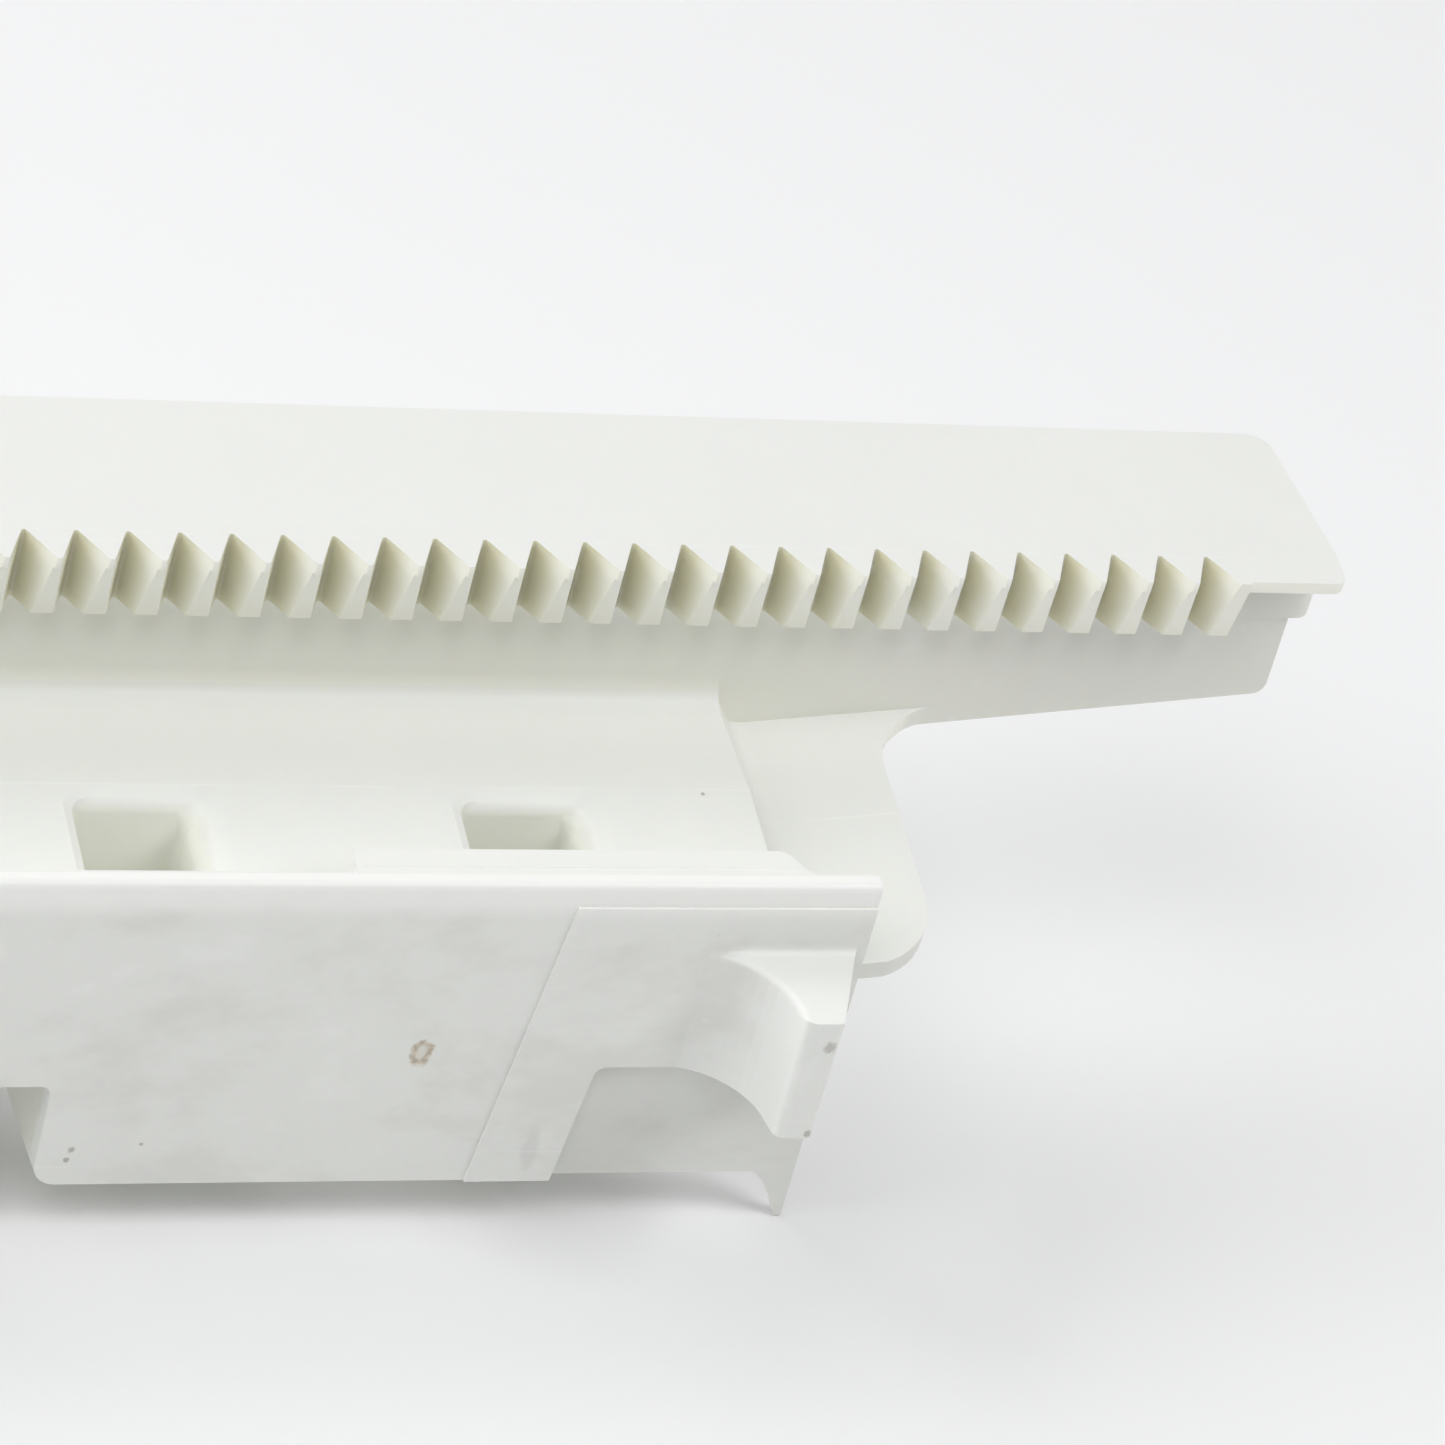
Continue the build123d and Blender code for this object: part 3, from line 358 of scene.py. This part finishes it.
    # thin pale lines at the change of slope of the floor and arm, on upward faces
    ln = math_node(nt, "ABSOLUTE", math_node(nt, "SUBTRACT", Y, (6.775 - 9.5) / 1000))
    ln = remap(nt, ln, 0.00005, 0.00016, 1.0, 0.0)
    low = math_node(nt, "LESS_THAN", Z, 0.0495)
    top = remap(nt, gs.outputs[2], 0.8, 0.9)
    ln = math_node(nt, "MULTIPLY", math_node(nt, "MULTIPLY", ln, low), top)
    ln = math_node(nt, "MULTIPLY", ln, remap(nt, noise(nt, vec, 60.0, 2.0), 0.35, 0.6))
    col = blend(nt, math_node(nt, "MULTIPLY", ln, 0.75), col, (0.93, 0.94, 0.92))
    # fine scratches, long and thin
    ms = nt.nodes.new("ShaderNodeMapping")
    ms.inputs["Rotation"].default_value = (0.3, 0.9, 0.25)
    ms.inputs["Scale"].default_value = (14.0, 900.0, 900.0)
    L(vec, ms.inputs["Vector"])
    sc = remap(nt, noise(nt, ms.outputs[0], 1.0, 1.0), 0.735, 0.76)
    col = blend(nt, math_node(nt, "MULTIPLY", sc, 0.25), col, (0.92, 0.93, 0.92))
    # rubbed edges with small nicks
    em = edge_mask(nt)
    worn = math_node(nt, "MULTIPLY", em, remap(nt, noise(nt, vec, 320.0, 3.0), 0.35, 0.7))
    col = blend(nt, math_node(nt, "MULTIPLY", worn, 0.4), col, (0.90, 0.91, 0.88))
    nick = math_node(nt, "MULTIPLY", em, remap(nt, noise(nt, vec, 260.0, 2.0), 0.735, 0.77))
    col = blend(nt, math_node(nt, "MULTIPLY", nick, 0.5), col, (0.36, 0.32, 0.24))
    L(col, b.inputs["Base Color"])
    r = remap(nt, noise(nt, vec, 95.0, 4.0), 0.3, 0.7, 0.33, 0.44)
    r = math_node(nt, "ADD", r, math_node(nt, "MULTIPLY", smudge, 0.10))
    L(r, b.inputs["Roughness"])
    h = math_node(nt, "ADD", math_node(nt, "MULTIPLY", noise(nt, vec, 1400.0, 2.0), 0.5),
                  math_node(nt, "MULTIPLY", noise(nt, vec, 90.0, 2.0), 0.6))
    h = math_node(nt, "SUBTRACT", h, math_node(nt, "MULTIPLY", ring, 1.5))
    h = math_node(nt, "SUBTRACT", h, math_node(nt, "MULTIPLY", nick, 1.0))
    surface_bump(nt, b, h, 0.3, 0.00005)
    b.inputs["Subsurface Weight"].default_value = 0.12
    b.inputs["Subsurface Radius"].default_value = (0.0020, 0.0021, 0.0012)
    b.inputs["Subsurface Scale"].default_value = 1.0
    return m


def metal(name, base, rough, stretch=(400, 400, 20), bump=0.00001, edge=1.15):
    """Metal: drawn or rolled grain, duller patches, bright rubbed edges."""
    m, nt, b = principled(name)
    b.inputs["Metallic"].default_value = 1.0
    vec = nt.nodes.new("ShaderNodeTexCoord").outputs["Object"]
    mp = nt.nodes.new("ShaderNodeMapping")
    mp.inputs["Scale"].default_value = stretch
    nt.links.new(vec, mp.inputs["Vector"])
    g = noise(nt, mp.outputs[0], 1.0, 3.0)
    patch = noise(nt, vec, 140.0, 4.0, 0.6)
    col = blend(nt, g, tuple(c * 0.9 for c in base), tuple(min(1, c * 1.06) for c in base))
    col = blend(nt, remap(nt, patch, 0.45, 0.7, 0.0, 0.35), col, tuple(c * 0.8 for c in base))
    worn = math_node(nt, "MULTIPLY", edge_mask(nt), 0.7)
    col = blend(nt, worn, col, tuple(min(1, c * edge) for c in base))
    nt.links.new(col, b.inputs["Base Color"])
    r = remap(nt, math_node(nt, "ADD", math_node(nt, "MULTIPLY", g, 0.5),
                            math_node(nt, "MULTIPLY", patch, 0.5)),
              0.3, 0.7, max(0.08, rough - 0.08), rough + 0.1)
    nt.links.new(r, b.inputs["Roughness"])
    surface_bump(nt, b, g, 0.3, bump)
    return m


white = rail_plastic("rail_white", (0.875, 0.886, 0.853))
stop_mat = plastic("stop_white", (0.76, 0.775, 0.73), rough=0.42)
grey = plastic("carriage_grey", (0.40, 0.42, 0.42), rough=0.5, mottle=0.05, bump=0.00004, edge=1.25)
acetal = plastic("acetal_natural", (0.80, 0.80, 0.73), rough=0.3, sss=0.1)
bushm = plastic("bush_dark", (0.085, 0.09, 0.095), rough=0.45, mottle=0.08, edge=1.6)
rubber = plastic("buffer_rubber", (0.028, 0.028, 0.03), rough=0.72, mottle=0.1, bump=0.00004, edge=1.5)
zinc = metal("zinc_sheet", (0.60, 0.61, 0.625), 0.36, (30, 500, 500))
screw = metal("screw_zinc", (0.66, 0.66, 0.67), 0.28)
shaft = metal("shaft_bright", (0.55, 0.56, 0.58), 0.22, (500, 500, 12))
spring = metal("clip_black", (0.10, 0.10, 0.105), 0.4, edge=2.0)

finish = {
    "rack_rail": white, "rear_stop": stop_mat, "stop_buffer": rubber,
    "carriage_base": grey, "floor_glides": acetal, "side_glides": acetal,
    "roller_pins": screw, "bearing_bridge": zinc, "bridge_screws": screw,
    "lower_bush": bushm, "upper_bush": bushm, "pinion": acetal,
    "cross_shaft": shaft, "drive_pin": shaft, "thrust_washer_lower": bushm,
    "thrust_washer_upper": bushm, "shaft_washer": zinc, "retaining_clip": spring,
    "guide_roller_left": acetal, "guide_roller_right": acetal,
}
for n, m in finish.items():
    me = nodes[n].data
    if me.materials:
        for i in range(len(me.materials)):
            me.materials[i] = m
    else:
        me.materials.append(m)

# --------------------------------------------------------------- finished pieces
body_of = {n: b for b, ns in frame["record"]["behaviour"]["bodies"].items() for n in ns}
rounding = {"rack_rail": (0.00030, 0.00014), "rear_stop": (0.0003, 0.0), "stop_buffer": (0.0002, 0.0),
            "carriage_base": (0.00035, 0.0), "floor_glides": (0.0002, 0.0),
            "side_glides": (0.0002, 0.0), "roller_pins": (0.0001, 0.0),
            "bearing_bridge": (0.00018, 0.0), "bridge_screws": (0.0001, 0.0),
            "lower_bush": (0.0001, 0.0), "upper_bush": (0.0001, 0.0), "pinion": (0.00018, 0.0),
            "cross_shaft": (0.00012, 0.0), "drive_pin": (0.00008, 0.0),
            "thrust_washer_lower": (0.00008, 0.0), "thrust_washer_upper": (0.00008, 0.0),
            "shaft_washer": (0.00008, 0.0), "retaining_clip": (0.0001, 0.0),
            "guide_roller_left": (0.0001, 0.0), "guide_roller_right": (0.0001, 0.0)}
for n in sorted(rounding):
    out_w, in_w = rounding[n]
    piece = softened(n, n + "_skin", out_w, in_w)
    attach(piece, body_of[n])
    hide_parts(n)

# --------------------------------------------------------------- stage
lo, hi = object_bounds()
bm = bmesh.new()
bmesh.ops.create_grid(bm, x_segments=2, y_segments=2, size=6.0)
fme = bpy.data.meshes.new("floor")
bm.to_mesh(fme)
bm.free()
floor = link("floor", fme)
floor.location = (0, 0, lo[2] - 0.0002)
fm, fnt, fb = principled("floor_paper")
fb.inputs["Base Color"].default_value = (0.93, 0.932, 0.94, 1)
fb.inputs["Roughness"].default_value = 0.85
fme.materials.append(fm)

# --------------------------------------------------------------- light
world = bpy.data.worlds.new("studio")
bpy.context.scene.world = world
world.use_nodes = True
wb = world.node_tree.nodes["Background"]
wb.inputs["Color"].default_value = (0.985, 0.99, 1.0, 1)
wb.inputs["Strength"].default_value = 0.15


def area(name, loc, target, sx, sy, watts, color=(1, 1, 1)):
    d = bpy.data.lights.new(name, "AREA")
    d.shape = "RECTANGLE"
    d.size, d.size_y = sx, sy
    d.energy = watts
    d.color = color
    o = bpy.data.objects.new(name, d)
    coll.objects.link(o)
    o.location = loc
    v = Vector(target) - Vector(loc)
    o.rotation_euler = v.to_track_quat("-Z", "Y").to_euler()
    return o


area("left_front", (-0.8, -0.8, 1.9), (0.1, 0, 0.03), 1.2, 1.2, 10.4)
area("left_high", (-1.6, 0.0, 1.6), (0.1, 0, 0.03), 1.2, 1.2, 4.5)
area("left_low", (-1.9, -0.2, 0.8), (0.1, 0, 0.03), 1.0, 1.0, 7.8)
area("right_front", (1.3, -0.8, 1.6), (0.1, 0, 0.03), 1.2, 1.2, 19.9)
area("left_back", (-1.2, 1.0, 1.4), (0.1, 0, 0.03), 1.2, 1.2, 15.2)
area("back", (0.1, 1.3, 1.7), (0.1, 0, 0.03), 1.2, 1.2, 5.0)
area("front_left_low", (-1.4, -1.2, 0.9), (0.1, 0, 0.03), 1.0, 1.0, 1.3)

# --------------------------------------------------------------- camera
# fitted by resection: centre of projection and axes in the row frame
cam_d = bpy.data.cameras.new("camera")
cam_d.sensor_fit = "HORIZONTAL"
cam_d.sensor_width = 36.0
cam_d.lens = 7033.52 / 1445.0 * 36.0
cam_d.clip_start, cam_d.clip_end = 0.05, 20.0
cam = bpy.data.objects.new("camera", cam_d)
coll.objects.link(cam)
CAM_R = np.array([[0.930779, -0.2855764, 0.2282465], [0.0129353, -0.59822, -0.8012275], [0.3653533, 0.7487182, -0.5531167]])
CAM_C = (-0.180667, -0.632444, 0.523509)
M = Matrix.Identity(4)
for i in range(3):
    M[i][0] = CAM_R[0][i]
    M[i][1] = -CAM_R[1][i]
    M[i][2] = -CAM_R[2][i]
    M[i][3] = CAM_C[i]
cam.matrix_world = M
bpy.context.scene.camera = cam
bpy.context.scene.view_settings.view_transform = "Standard"
